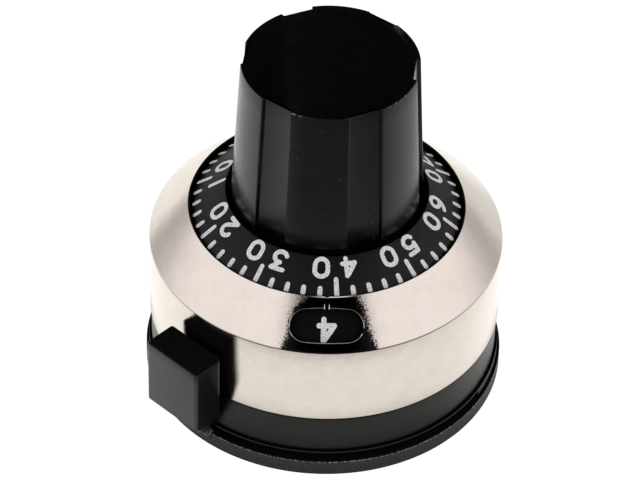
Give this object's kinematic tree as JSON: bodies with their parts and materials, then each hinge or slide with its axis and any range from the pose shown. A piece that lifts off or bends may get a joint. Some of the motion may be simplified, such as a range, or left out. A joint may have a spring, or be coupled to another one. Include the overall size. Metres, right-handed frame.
{
  "type": "turns-counting control dial",
  "caption": "Multi-turn counting knob dial: fluted knob on a graduated cone, bright sleeve with a turns window, and a finger-tab brake lever.",
  "frame": {"origin": "on the shaft axis, level with the tip of the locating pin, which is the lowest point; the face that seats on the panel is 1.5 mm above it", "axes": "+Z along the shaft axis out of the panel towards the knob; -Y towards the reader's window and index line"},
  "size_m": [0.0228, 0.0228, 0.0255],
  "materials": {
    "black_moulding": "satin black moulding",
    "black_grip": "satin black, finely textured",
    "black_anodised": "matt black anodised, engraved and filled white",
    "bright_nickel": "bright nickel plate, lightly brushed round",
    "grey_moulding": "dark grey moulding",
    "brass": "turned",
    "steel": "bright zinc plated",
    "acetal": "natural white moulding"
  },
  "bodies": {
    "case": {"housing": "black_moulding", "bezel": "bright_nickel", "base_plate": "grey_moulding", "base_screw_1": "steel", "base_screw_2": "steel", "base_screw_3": "steel", "locating_pin": "steel", "hub_bearing": "acetal", "thrust_washer": "steel", "fixed_ring_gear": "brass"},
    "knob_group": {"knob": "black_grip", "dial_ring": "black_anodised", "hub": "brass", "set_screw_1": "steel", "set_screw_2": "steel", "planet_pin": "steel", "retaining_ring": "steel", "planet_clip": "steel"},
    "planet": {"planet_gear": "acetal"},
    "turns_ring": {"counter_gear": "acetal", "counter_dial": "black_anodised"},
    "lever": {"brake_lever": "grey_moulding"},
    "shoe": {"brake_shoe": "acetal"}
  },
  "joints": [
    {"name": "knob_turn", "type": "hinge", "parent": "case", "child": "knob_group", "pos_m": [0, 0, 0.01], "axis": [0, 0, 1], "continuous": true},
    {"name": "planet_spin", "type": "hinge", "parent": "knob_group", "child": "planet", "pos_m": [0.00643, 0.00234, 0.006], "axis": [0, 0, 1], "continuous": true},
    {"name": "turns_count", "type": "hinge", "parent": "case", "child": "turns_ring", "pos_m": [0, 0, 0.01], "axis": [0, 0, 1], "continuous": true},
    {"name": "lever_turn", "type": "hinge", "parent": "case", "child": "lever", "pos_m": [0, 0, 0.002], "axis": [0, 0, 1], "range_deg": [0, 98]},
    {"name": "shoe_slide", "type": "slide", "parent": "case", "child": "shoe", "axis": [0, -1, 0], "range_m": [0, 0.00035]}
  ],
  "couplings": [
    {"joint": "planet_spin", "follows": "knob_turn", "ratio": -5.25},
    {"joint": "turns_count", "follows": "knob_turn", "ratio": 0.066667},
    {"joint": "shoe_slide", "follows": "lever_turn", "m_per_rad": 0.00020463}
  ]
}
